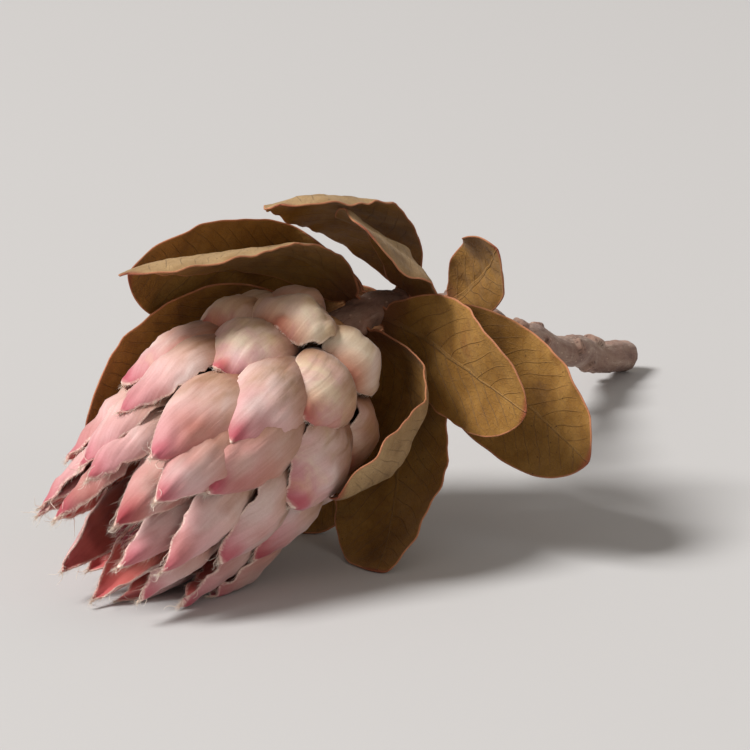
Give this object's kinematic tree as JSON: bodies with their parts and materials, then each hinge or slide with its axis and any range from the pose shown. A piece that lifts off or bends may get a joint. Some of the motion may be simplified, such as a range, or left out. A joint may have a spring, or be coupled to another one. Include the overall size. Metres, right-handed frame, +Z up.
{
  "type": "protea flower",
  "caption": "Dried protea: a nodding flower head of overlapping bracts on a cut woody stem, with leathery leaves spread round it, lying on a surface.",
  "frame": {"origin": "bottom centre of the part's bounding box, on the surface that the flower lies on", "axes": "+X along the overall length from the flower head to the cut end of the stem, +Z up from the surface"},
  "size_m": [0.2921, 0.1213, 0.0969],
  "materials": {
    "stem": "dry bark, wrinkled, with raised leaf scars and a plain cut end",
    "bracts": "dried, matte and finely ribbed, cream low on the head and pink further up",
    "florets": "silky and hairy",
    "leaves": "dried, matte olive brown with a thin paler orange rim"
  },
  "bodies": {
    "root": {"stem": "stem", "bracts": "bracts", "florets": "florets", "leaf_01": "leaves", "leaf_02": "leaves", "leaf_03": "leaves", "leaf_04": "leaves", "leaf_05": "leaves", "leaf_06": "leaves", "leaf_07": "leaves", "leaf_08": "leaves", "leaf_09": "leaves", "leaf_10": "leaves", "leaf_11": "leaves", "leaf_12": "leaves", "leaf_13": "leaves"}
  },
  "joints": []
}
